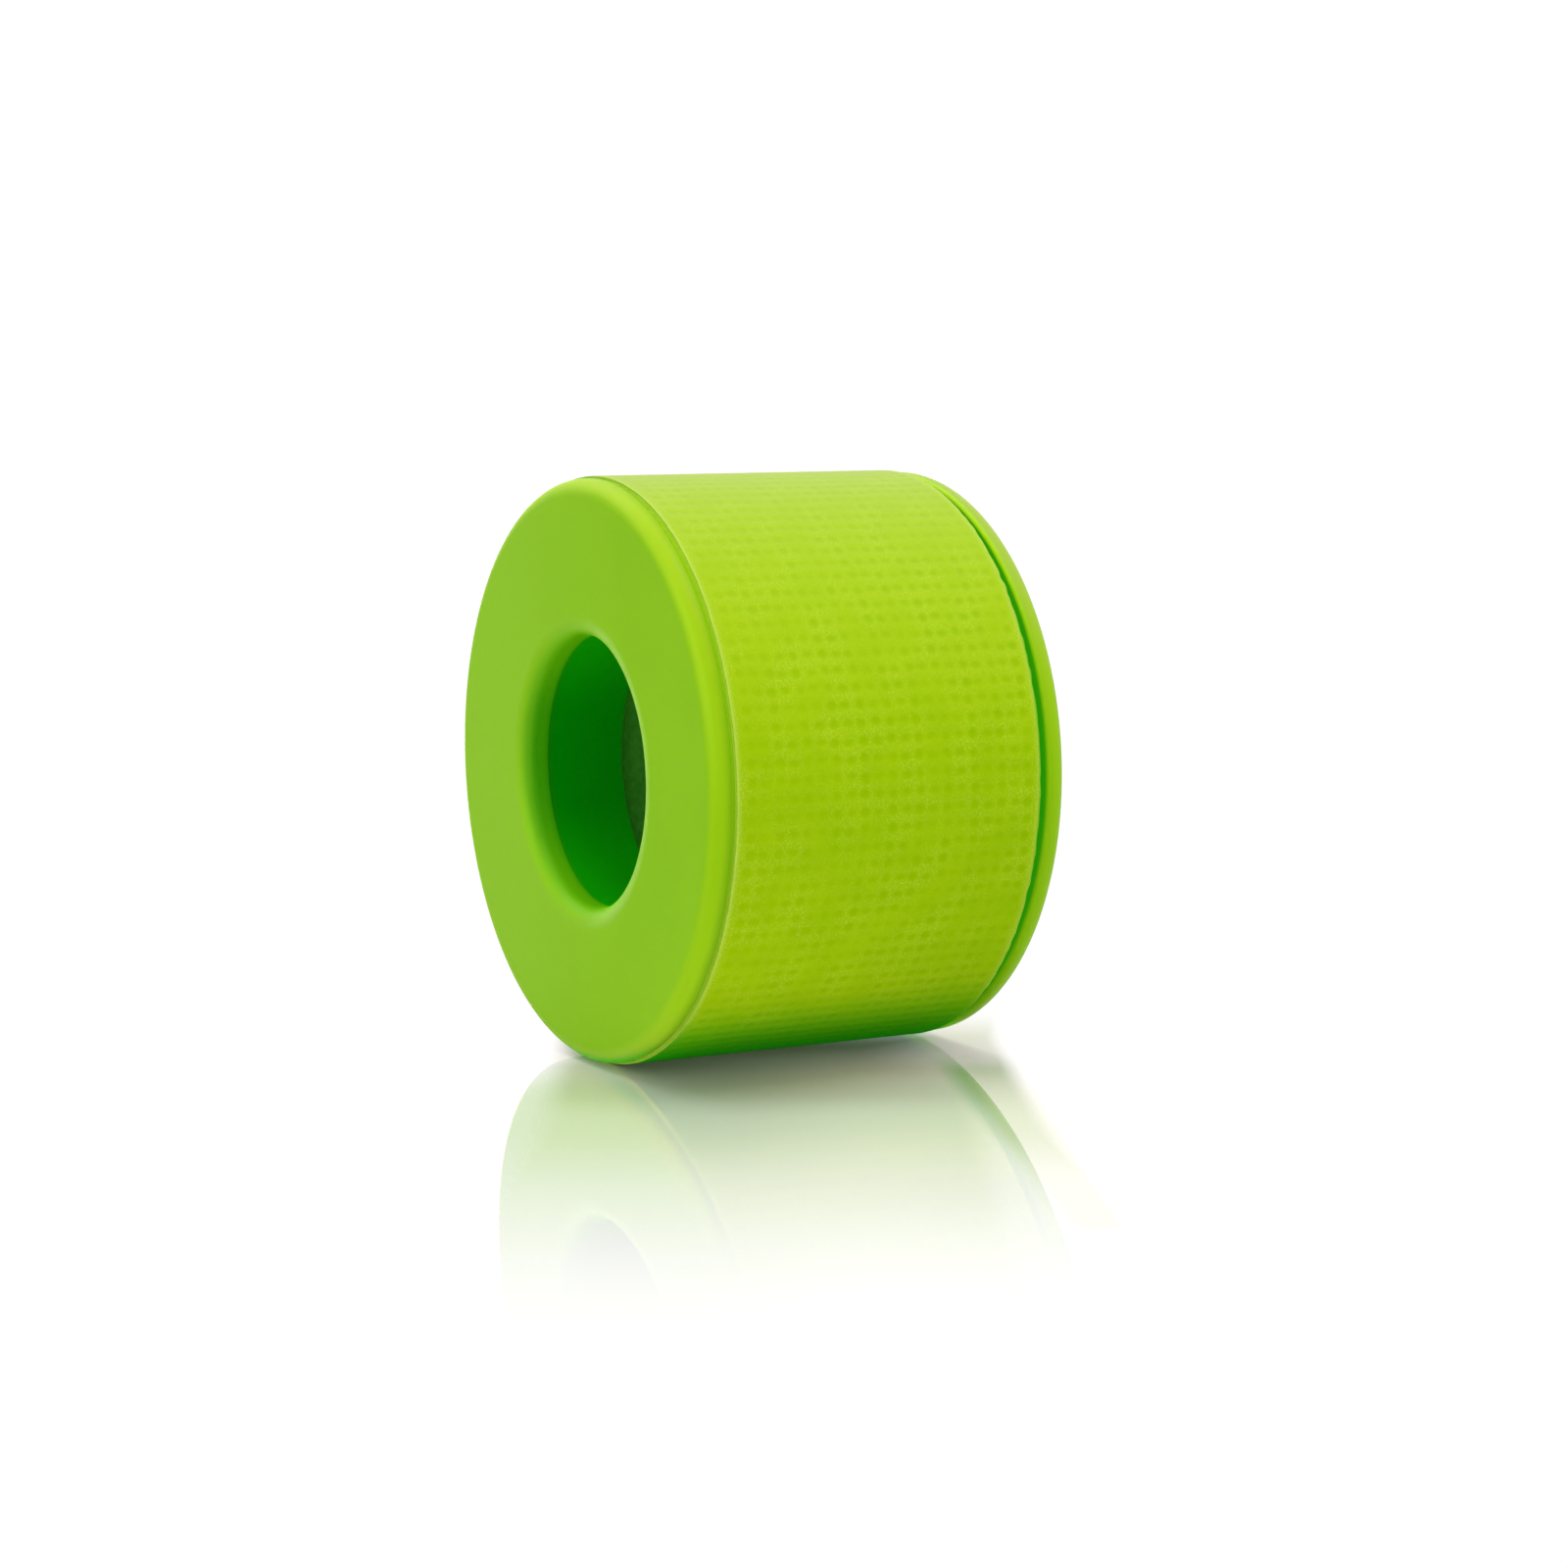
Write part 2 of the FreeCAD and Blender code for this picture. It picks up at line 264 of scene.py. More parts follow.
class Graph:
    """Adds nodes to a shader tree."""

    def __init__(self, tree):
        self.tree = tree

    def put(self, socket, value):
        """Link or set an input. A colour of three numbers gets an alpha of 1."""
        if isinstance(value, Signal):
            value = value.socket
        if isinstance(value, bpy.types.NodeSocket):
            self.tree.links.new(value, socket)
        else:
            socket.default_value = (*value, 1) if socket.type == "RGBA" else value

    def add(self, kind, inputs={}, **props):
        node = self.tree.nodes.new("ShaderNode" + kind)
        for key, prop in props.items():
            setattr(node, key, prop)
        for key, value in inputs.items():
            self.put(node.inputs[key], value)
        return node

    def value(self, kind, inputs={}, out=0, **props):
        """Add a node and return one of its outputs."""
        return Signal(self, self.add(kind, inputs, **props).outputs[out])

    def math(self, operation, first, second=0):
        return self.value("Math", {0: first, 1: second, 2: 0}, operation=operation)

    def mix(self, share, start, end):
        return self.value("Mix", {0: share, 6: start, 7: end}, out=2,
                          data_type="RGBA", blend_type="MIX")

    def split(self, vector):
        return [Signal(self, out) for out in self.add("SeparateXYZ", {0: vector}).outputs]

    def facing_up(self, over):
        """Ramp of the normal's z, which is 1 where the surface faces the sky."""
        return self.split(self.value("NewGeometry", out="Normal"))[2].ramp(over)

    def attribute(self, name):
        return self.value("Attribute", out="Fac", attribute_name=name)

    def uv(self):
        return self.value("UVMap", out="UV", uv_map="flat")

    def noise(self, vector, scale, detail=3, rough=0.55, distort=0):
        return self.value("TexNoise", {
            "Vector": vector, "Scale": scale, "Detail": detail,
            "Roughness": rough, "Distortion": distort,
        }, out="Fac")

    def mapping(self, vector, scale, turn=0):
        return self.value("Mapping", {"Vector": vector, "Scale": scale, "Rotation": (0, 0, turn)})

    def bump(self, height, distance, strength, **under):
        """Bump of a height. distance is in metres; Normal may be given as the bump under it."""
        inputs = {"Distance": distance, "Strength": strength, "Height": height, **under}
        return self.value("Bump", inputs)

    def openness(self, reach, local=False):
        """1 in the open, less where surfaces within reach (metres) close it in."""
        return self.value("AmbientOcclusion", {"Distance": reach}, out="AO",
                          samples=8, only_local=local)

    def object_place(self):
        return self.value("TexCoord", out="Object")

    def position(self):
        """x, y, z in the part's frame and the radius about the axis, in millimetres."""
        x, y, z = self.split(self.mapping(self.object_place(), scale=(1000, 1000, 1000)))
        return x, y, z, self.math("SQRT", x * x + z * z)


class Material(Graph):
    """A new material, empty but for its output."""

    def __init__(self, name):
        self.material = bpy.data.materials.new(name)
        self.material.use_nodes = True
        super().__init__(self.material.node_tree)
        self.tree.nodes.clear()
        self.output = self.add("OutputMaterial")

    def finish(self, surface):
        self.put(self.output.inputs["Surface"], surface)
        return self.material

    def principled(self, **values):
        inputs = {key.replace("_", " "): value for key, value in values.items()}
        return self.finish(self.value("BsdfPrincipled", inputs))


# ---------------------------------------------------------------- materials


def cap_plastic():
    """Satin moulded plastic with fine grain, with painted shade where light only gets in by
    bouncing, and a painted highlight and glow on the rim.
    """
    mat = Material("cap_plastic")
    place = mat.object_place()
    x, y, z, radius = mat.position()
    across = abs(y)
    cloud = mat.noise(place, scale=90, rough=0.5, distort=0.4)
    grain = mat.noise(place, scale=9000, detail=2, rough=0.6)
    grit = mat.noise(place, scale=3600, rough=0.65)
    outer = radius.ramp(over=(20.4, 21.3))

    # lit face: flow clouds, then painted light that makes it paler to -z and to -x, then grain
    light = mat.mix(cloud.ramp(over=(0.3, 0.7)),
                    start=(0.235, 0.530, 0.001), end=(0.252, 0.554, 0.002))
    light = light.toward((0.262, 0.575, 0.002), share=z.ramp(over=(-22, -2), to=(0.6, 0)))
    light = light.toward((0.275, 0.580, 0.020), share=x.ramp(over=(-15, 7), to=(0.6, 0)))
    light = light.toward((0.27, 0.545, 0.008), share=grain.ramp(over=(0.35, 0.7), to=(0, 0.2)))

    # painted highlight: the rim is yellower, more so where it faces up, and painted shade deepens
    # it beside the tape
    rim_highlight = mat.mix(mat.facing_up(over=(-0.2, 0.95)),
                  start=(0.300, 0.575, 0.001), end=(0.345, 0.545, 0.004))
    # painted light: the rim is paler towards -z
    rim_highlight = rim_highlight.toward((0.350, 0.620, 0.004), share=z.ramp(over=(-20, -4), to=(0.3, 0)))
    # painted sheen: the rear rim is paler where it faces up
    pale = mat.facing_up(over=(0.25, 0.95)) * y.ramp(over=(-1, 1), to=(0, 0.75))
    rim_highlight = rim_highlight.toward((0.385, 0.510, 0.080), share=pale)
    light = light.toward(rim_highlight, share=outer)
    # painted shade on the rim beside the tape, lighter where it faces up
    rim_edge_shade = across.ramp(over=(13.05, 14), to=(1, 0)) * outer
    rim_edge_shade = rim_edge_shade * y.ramp(over=(-1, 1), to=(0.88, 0.25))
    rim_edge_shade_colour = mat.mix(mat.facing_up(over=(-0.1, 0.8)),
                          start=(0.170, 0.395, 0.0005), end=(0.240, 0.455, 0.0005))
    light = light.toward(rim_edge_shade_colour, share=rim_edge_shade)

    # shaded colour of the recesses and of the wall round the bore
    wall = radius.ramp(over=(10.42, 11.3), to=(1, 0)) * across.ramp(over=(11.7, 12.8), to=(1, 0))
    exposed = mat.openness(reach=0.03, local=True).ramp(over=(0.62, 0.97)) * (1 - wall)
    height = abs(z).ramp(over=(3, 9.5))
    shade = mat.mix(height, start=(0.0004, 0.325, 0.0005), end=(0.006, 0.455, 0.0006))
    outer_shade = mat.mix(height, start=(0.030, 0.420, 0.001), end=(0.130, 0.560, 0.001))
    shade = shade.toward(outer_shade, share=across.ramp(over=(11.8, 12.9)))
    base = mat.mix(exposed, start=shade, end=light)

    # painted shade in the crevices, but the groove beside the tape keeps the lit colour as the thin
    # rim lets light in
    near_tape = across.ramp(over=(13.7, 13.2)) * radius.ramp(over=(21.30, 21.50))
    crevice_lit = mat.openness(reach=0.006).ramp(over=(0, 0.48)).max(near_tape)
    base = mat.mix(crevice_lit, start=(0.05, 0.40, 0.0005), end=base)

    # shine on the rim and at the bore's mouth, over a small even share
    mouth = radius.ramp(over=(11.95, 11.4)) * across.ramp(over=(13.1, 13.4))
    mouth = mouth * x.ramp(over=(0, 7), to=(0.02, 0.30))
    rim_gloss, even_gloss = 0.045, 0.034

    # painted glow in the crevices, and a painted glow on the rim beside the tape, where light would
    # come through the thin rim
    glow = mat.openness(reach=0.004).ramp(over=(0, 0.55), to=(0.17, 0))
    glow_through_rim = across.ramp(over=(13.30, 12.98)) * radius.ramp(over=(21.35, 21.50))
    glow_through_rim = glow_through_rim * (y.ramp(over=(-1, 1), to=(0.7, 0))
                         + y.ramp(over=(-1, 1)) * z.ramp(over=(6, 19), to=(0.25, 0.75)))
    glow_through_rim = glow_through_rim * mat.openness(reach=0.004).ramp(over=(1, 0.75))
    fine = mat.bump(grain, distance=0.00001, strength=0.08)
    return mat.principled(
        Base_Color=base,
        Roughness=grit.ramp(over=(0.3, 0.7), to=(0.36, 0.46)),
        Specular_IOR_Level=outer * rim_gloss + mouth + even_gloss,
        IOR=1.49,
        Normal=mat.bump(grit, distance=0.00003, strength=0.08, Normal=fine),
        Emission_Color=mat.mix(glow_through_rim, start=(0.02, 1, 0.01), end=(0.85, 0.95, 0.005)),
        Emission_Strength=glow + glow_through_rim * z.ramp(over=(-20, 20), to=(0.17, 0.34)),
    )


def tape_backing():
    """Embossed non-woven: dark pressed dots, pale loose fibres, worn patches, fluffy cut edges."""
    mat = Material("tape_backing")
    uv = mat.uv()
    dot, patch, edge = (mat.attribute(name) for name in ("dot", "patch", "edge"))
    fibre_a = mat.noise(mat.mapping(uv, scale=(2.2, 7.5, 1), turn=0.5),
                        scale=1, detail=4, rough=0.7, distort=1.6)
    fibre_b = mat.noise(mat.mapping(uv, scale=(7, 2.4, 1), turn=-0.3),
                        scale=1, detail=4, rough=0.7, distort=1.4)
    fibre = fibre_a.max(fibre_b)
    fuzz = mat.noise(uv, scale=11, rough=0.7)
    drift = mat.noise(uv, scale=0.32, detail=2, rough=0.5)
    speck = mat.noise(uv, scale=5.5, detail=4, rough=0.75)
    y = mat.split(uv)[1]
    # painted light: the front edge, except where it faces down, is spared the painted shade and
    # gets a painted glow
    glowing_front_edge = (y.ramp(over=(TAPE_FRONT + 0.12, TAPE_FRONT + 0.03))
                  * mat.facing_up(over=(-0.75, -0.35)))
    lit = mat.openness(reach=0.013).ramp(over=(0.01, 0.50)).max(glowing_front_edge)
    top = mat.facing_up(over=(0.45, 0.98))

    # ground colour, with fuzz, and painted light that makes the upper side yellower
    base = mat.mix(drift.ramp(over=(0.35, 0.65)),
                   start=(0.308, 0.524, 0.001), end=(0.335, 0.546, 0.0015))
    base = base.toward((0.40, 0.595, 0.007), share=fuzz.ramp(over=(0.40, 0.75), to=(0, 0.45)))
    upper = mat.facing_up(over=(-0.1, 0.6)).ramp(over=(0, 1), to=(0, 0.6))
    base = base.toward((0.375, 0.570, 0.002), share=upper)

    # pale loose fibres stand on the ridges between the dots, most where the tape is worn
    drift_weight, dust_share = 1.0, 0.95
    worn = (patch + drift * drift_weight).ramp(over=(-1.6, 3), to=(0.25, 0.90))
    ridge = dot.ramp(over=(0.05, 0.65), to=(1, 0.10))
    dust = speck.ramp(over=(0.42, 0.68)) * (worn * ridge)
    base = base.toward((0.46, 0.65, 0.035), share=dust * dust_share)
    pale = fibre.ramp(over=(0.60, 0.76)) * (worn * dot.ramp(over=(0.1, 0.8), to=(0.9, 0.2)))
    base = base.toward((0.57, 0.72, 0.12), share=pale)

    # pressed dots, fainter near the front edge, and fainter on top as painted light
    pressed = (dot.ramp(over=(0.10, 0.95), to=(0, 0.62))
               * patch.ramp(over=(-1.6, 1.4), to=(0.55, 1))
               * top.ramp(over=(0, 1), to=(1, 0.35))
               * y.ramp(over=(TAPE_FRONT + 0.5, TAPE_FRONT + 12), to=(0.60, 1)))
    base = base.toward((0.272, 0.490, 0.0005), share=pressed)

    # fluff at both edges, broken up by the specks, and a painted shade line at the rear edge
    speck_pull, fluff_share = -0.9, 0.55
    fluff = (edge + speck * speck_pull).ramp(over=(-0.55, 0.22), to=(1, 0)) * fluff_share
    base = base.toward((0.49, 0.68, 0.10), share=fluff)
    rear_edge_shade = (y.ramp(over=(TAPE_REAR - 0.30, TAPE_REAR - 0.04), to=(0, 0.75))
                 * (mat.facing_up(over=(0.85, 0.35)) * mat.facing_up(over=(-0.6, -0.1))))
    base = base.toward((0.13, 0.42, 0.001), share=rear_edge_shade)
    # painted shade where the tape is closed in, as next to the floor
    base = mat.mix(lit, start=(0.002, 0.410, 0.003), end=base)

    fibre_height, fuzz_height = 0.6, 0.4
    # painted sheen on the upper side and none in the painted shade, and painted glow in the
    # crevices and at the front edge
    upper_sheen, edge_glow = 0.40, 0.06
    sheen = mat.facing_up(over=(0.1, 0.7)) * upper_sheen + top.ramp(over=(0, 1), to=(0.002, 0.15))
    crevice_glow = mat.openness(reach=0.004).ramp(over=(0, 0.5), to=(0.05, 0))
    return mat.principled(
        Base_Color=base,
        Roughness=0.82,
        Specular_IOR_Level=0,
        Sheen_Weight=sheen * lit,
        Sheen_Roughness=0.45,
        Sheen_Tint=(1, 0.97, 0.76),
        Normal=mat.bump(fibre * fibre_height + fuzz * fuzz_height,
                        distance=0.00005, strength=0.45),
        Emission_Color=mat.mix(glowing_front_edge, start=(0.03, 1, 0.02), end=(0.80, 1, 0.03)),
        Emission_Strength=crevice_glow + glowing_front_edge * edge_glow,
    )


def tape_side():
    """The wound edges of all the turns: pale cut fibres over thin lines of adhesive."""
    mat = Material("tape_side")
    groove, tone = mat.attribute("groove"), mat.attribute("tone")
    fuzz = mat.noise(mat.mapping(mat.uv(), scale=(3, 14, 1)),
                     scale=1, detail=4, rough=0.7, distort=0.8)
    base = mat.mix(tone, start=(0.30, 0.50, 0.004), end=(0.40, 0.60, 0.03))
    base = base.toward((0.52, 0.68, 0.13), share=fuzz.ramp(over=(0.45, 0.75), to=(0, 0.6)))
    base = base.toward((0.16, 0.34, 0.004), share=groove.ramp(over=(0.3, 1), to=(0, 0.75)))

    # painted shade in the crevices, except beside the front cap's rim, which gets a painted glow
    # instead
    _, y, z, radius = mat.position()
    beside_rim = radius.ramp(over=(21.2, 21.42)) * y.ramp(over=(-12, -12.5))
    lit = mat.openness(reach=0.006).ramp(over=(0.2, 0.8)).max(beside_rim)
    base = mat.mix(lit, start=(0.010, 0.28, 0.0005), end=base)
    rim_glow = beside_rim * (mat.openness(reach=0.004).ramp(over=(0.8, 0.4))
                             * z.ramp(over=(-20, 20), to=(0.07, 0.22)))
    crevice_glow = mat.openness(reach=0.004).ramp(over=(0, 0.55), to=(0.17, 0))
    return mat.principled(
        Base_Color=base,
        Roughness=0.78,
        Specular_IOR_Level=0.12,
        Sheen_Weight=0.2,
        Sheen_Roughness=0.5,
        Normal=mat.bump(fuzz, distance=0.00005, strength=0.5),
        Emission_Color=mat.mix(rim_glow.ramp(over=(0, 0.05)),
                               start=(0.02, 1, 0.01), end=(0.75, 0.95, 0.01)),
        Emission_Strength=crevice_glow.max(rim_glow),
    )


def tape_adhesive():
    """Clear silicone gel, tinted by the backing behind it, with fine bubbles."""
    mat = Material("tape_adhesive")
    uv = mat.uv()
    wet = mat.noise(uv, scale=1.6, rough=0.5, distort=0.5)
    bubble = mat.value("TexVoronoi", {"Vector": uv, "Scale": 3.4}, out="Distance", feature="F1")
    spot = bubble.ramp(over=(0, 0.12), to=(1, 0))
    spot_share, spot_height = 0.5, 0.3
    base = mat.mix(wet.ramp(over=(0.35, 0.65)), start=(0.40, 0.60, 0.10), end=(0.46, 0.66, 0.16))
    return mat.principled(
        Base_Color=base.toward((0.70, 0.82, 0.45), share=spot * spot_share),
        Roughness=0.16,
        Specular_IOR_Level=0.5,
        IOR=1.41,
        Coat_Weight=0.35,
        Coat_Roughness=0.08,
        Subsurface_Weight=0.25,
        Subsurface_Radius=(0.8, 1, 0.4),
        Subsurface_Scale=0.0003,
        Normal=mat.bump(wet + spot * spot_height, distance=0.00006, strength=0.5),
    )


def core_board():
    """Spiral-wound paperboard in dark green, a colour that is partly painted shade of the deep
    bore: flecked pulp, plies at the cut ends, a dark seam.
    """
    mat = Material("core_board")
    uv = mat.uv()
    ply, seam = mat.attribute("ply"), mat.attribute("seam")
    pulp = mat.noise(uv, scale=1.3, detail=5, rough=0.65, distort=0.3)
    fleck = mat.noise(mat.mapping(uv, scale=(1.4, 5, 1), turn=0.35),
                      scale=1, rough=0.75, distort=1.2)
    ply_share, seam_share = 0.6, 0.7
    # dark green, partly the board's colour and partly painted shade of the deep bore
    base = mat.mix(pulp.ramp(over=(0.35, 0.65)),
                   start=(0.048, 0.280, 0.018), end=(0.070, 0.330, 0.028))
    for colour, share in (
        ((0.030, 0.130, 0.018), fleck.ramp(over=(0.60, 0.72), to=(0, 0.5))),  # dark flecks
        ((0.170, 0.400, 0.080), fleck.ramp(over=(0.30, 0.42), to=(0.4, 0))),  # pale flecks
        ((0.035, 0.150, 0.020), ply * ply_share),
        ((0.030, 0.120, 0.018), seam * seam_share),
    ):
        base = base.toward(colour, share)
    normal = mat.bump(pulp + fleck, distance=0.00006, strength=0.5)
    return mat.principled(
        Base_Color=base, Roughness=0.88, Specular_IOR_Level=0.15, Normal=normal)


CAP, BACK, SIDE, GEL, BOARD = (
    cap_plastic(), tape_backing(), tape_side(), tape_adhesive(), core_board())

for cap in ("front_cap", "rear_cap"):
    give(frame["nodes"][cap], CAP)

# ---------------------------------------------------------------- outer turn and free end


def tape_layer(name, start, end, embossed, gap=0.0):
    """The embossed backing, or else the adhesive under it, between two angles past the peel line.

    gap lifts the part that is past a whole turn.
    """
    steps = int(round((end - start) / TURN * ROWS * PER_ROW))
    phi = np.linspace(start, end, steps + 1)
    angle = (PEEL + phi) % TURN
    turned = angle[:, None]
    surface = strip_radius(phi) + gap * (phi > TURN)
    quarters = np.array([0.0, 0.25, 0.5, 0.75, 1.0]) * WIDTH
    rear_fray = 0.022 * edge_field(angle + 1.0, 0.0) - 0.05
    if embossed:
        top_drop, under_drop = 0.0, BACKING
        front_fray = 0.009 * np.clip(edge_field(angle, 0.0), -1.5, 1.5) - 0.012
        columns = int(round(WIDTH / PITCH_Y * PER_COLUMN))
        inner = np.linspace(0.12, WIDTH - 0.12, columns - 3)
        across = np.concatenate([[0.0, 0.04], inner, [WIDTH - 0.04, WIDTH]])
    else:
        top_drop, under_drop = BACKING, THICK
        front_fray = 0.0 * angle
        across = quarters
    under = quarters[::-1]

    # the power keeps the fray close to the edges
    y_top = TAPE_FRONT + across + front_fray[:, None] * (1 - across / WIDTH) ** 40
    y_top = y_top + rear_fray[:, None] * (across / WIDTH) ** 40
    y_under = (TAPE_FRONT + under + front_fray[:, None] * (under == 0)
               + rear_fray[:, None] * (under == WIDTH))
    dot = depth = np.zeros_like(y_top)
    if embossed:
        border = np.minimum(across, WIDTH - across)
        dot = emboss(turned, y_top) * np.clip((border - 0.25) / 0.5, 0, 1)
        # dots, then fibres, then rounding at the edges
        depth = 0.040 * np.clip(dot, 0, 1.2) + 0.004 * (1 + 0.5 * fibre_field(turned, y_top))
        depth = depth + 0.02 * np.clip(1 - border / 0.1, 0, 1)
    r_top = surface[:, None] - top_drop - depth
    r_under = (surface - under_drop)[:, None] + 0 * y_under
    y = np.concatenate([y_top, y_under], 1)
    attributes = {
        "dot": np.concatenate([dot, np.zeros_like(y_under)], 1),
        "patch": patch_field(turned, y),
        "edge": np.minimum((y - TAPE_FRONT) * 1.5, TAPE_REAR - y),
        "outside": np.concatenate([np.ones_like(y_top), np.zeros_like(y_under)], 1),
    }
    return sweep(name, angle, np.concatenate([r_top, r_under], 1), y, attributes,
                 uv=(ROLL_R * phi[:, None], y), closed=False, sharp=40)


free_start = TURN - LAP
turn_end = free_start - GAP / ROLL_R
tip = TURN + FREE_ARC

outer_turn = tape_layer("tape_outer_turn", 0.0, turn_end, embossed=True)
fit(outer_turn, BACK, "outer_turn_backing")
outer_glue = tape_layer("tape_outer_adhesive", 0.0, turn_end, embossed=False)
fit(outer_glue, GEL, "outer_turn_adhesive")
free_end = tape_layer("tape_free_end", free_start, tip, embossed=True, gap=GAP)
fit(free_end, BACK, "free_end_backing", rides=False)
free_glue = tape_layer("tape_free_end_adhesive", free_start, tip, embossed=False, gap=GAP)
fit(free_glue, GEL, "free_end_adhesive", rides=False)

for strip in (free_end, free_glue):
    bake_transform(strip)

# ---------------------------------------------------------------- the turns under it


def wound_turns():
    """One solid ring for all the inner turns, with a groove between turns on both sides."""
    slices, turns, per_turn = 240, 44, 4
    clearance = 0.004
    spare = 3  # turns in the random tables past the last
    rng = np.random.RandomState(12)
    shift = rng.normal(0, 0.018, turns + spare)
    tone = rng.uniform(0, 1, turns + spare)

    phi = np.arange(slices) / slices * 2 * math.pi
    top = (spiral(phi) - THICK - clearance)[:, None]
    bore = CORE_R + clearance
    side_r = bore + (top - bore) * np.linspace(0, 1, turns * per_turn + 1)
    depth = (top - side_r) / THICK  # in turns, from the outside
    whole = np.clip(np.floor(depth).astype(int), 0, turns + spare - 1)
    part = depth - np.floor(depth)
    groove = np.clip(1 - np.minimum(part, 1 - part) / 0.28, 0, 1)
    wobble = (0.012 * np.cos(3 * phi + 0.7)[:, None] * np.sin(side_r * 2.1)
              + 0.01 * np.sin(7 * phi)[:, None] * np.cos(side_r * 1.3))
    dip = np.clip(np.abs(shift[whole]) + 0.05 * groove + 0.02 + wobble * 0.5, 0.0, 0.12)
    dip[:, [0, -1]] = 0.03

    def profile(front, rear, bore_values):
        """Front side outwards, rear side inwards, then two points along the bore."""
        ends = np.broadcast_to(bore_values, (slices, 2))
        return np.concatenate([front, rear[:, ::-1], ends], 1)

    radius = profile(side_r, side_r, bore)
    bore_y = np.array([0.66, 0.33]) * WIDTH + TAPE_FRONT
    y = profile(TAPE_FRONT + dip, TAPE_REAR - dip, bore_y)
    attributes = {
        "groove": profile(groove, groove, 0),
        "tone": profile(tone[whole], tone[whole], 0),
    }
    return sweep("tape_wound_turns", (PEEL + phi) % TURN, radius, y, attributes,
                 uv=(ROLL_R * phi[:, None], radius + 0.3 * y), sharp=60)


fit(wound_turns(), SIDE, "wound_tape")

# ---------------------------------------------------------------- paperboard core


def core_tube():
    """A tube with chamfered ends, stepped plies on them and a raised spiral seam in the bore."""
    slices, bore_points, outer_points, wall_points = 180, 120, 6, 13
    bore_r, outer_r = 11.45, CORE_R - 0.002
    front, rear = CORE_FRONT + 0.012, CORE_REAR - 0.012
    chamfer = 0.12
    seam_lead, seam_width, seam_height = 30.0, 0.28, 0.05
    ply_step = 0.035

    phi = np.arange(slices) / slices * 2 * math.pi
    turned = phi[:, None]
    wall = np.linspace(bore_r, outer_r, wall_points)[1:-1]
    ply = (np.arange(wall_points) % 3 == 0).astype(float)[1:-1]
    bore_y = np.linspace(rear, front, bore_points)
    bore_y[[0, -1]] += (-chamfer, chamfer)
    outer_y = np.linspace(front, rear, outer_points)
    outer_y[[0, -1]] += (chamfer, -chamfer)
    # the profile runs along the bore, the front end, the outside and the rear end
    profile_r = np.concatenate(
        [np.full(bore_points, bore_r), wall, np.full(outer_points, outer_r), wall[::-1]])
    y = np.concatenate(
        [bore_y, np.full(len(wall), front), outer_y, np.full(len(wall), rear)])
    profile_ply = np.concatenate([np.zeros(bore_points), ply, np.zeros(outer_points), ply[::-1]])

    in_bore = np.arange(len(y)) < bore_points
    helix = ((y / seam_lead - turned / TURN) % 1.0) * seam_lead
    seam = np.exp(-((np.minimum(helix, seam_lead - helix) / seam_width) ** 2)) * in_bore
    radius = profile_r + seam_height * seam
    rough = 0.012 * np.sin(11 * turned + 1.0) * np.cos(2.3 * radius)
    sunk = y + np.where(y < 0, ply_step, -ply_step) + rough
    y = np.where(profile_ply > 0, sunk, y)
    return sweep("core_tube_board", phi, radius, y, {"ply": profile_ply, "seam": seam},
                 uv=(12 * turned, y + radius))


fit(core_tube(), BOARD, "core_tube")

# ---------------------------------------------------------------- floor


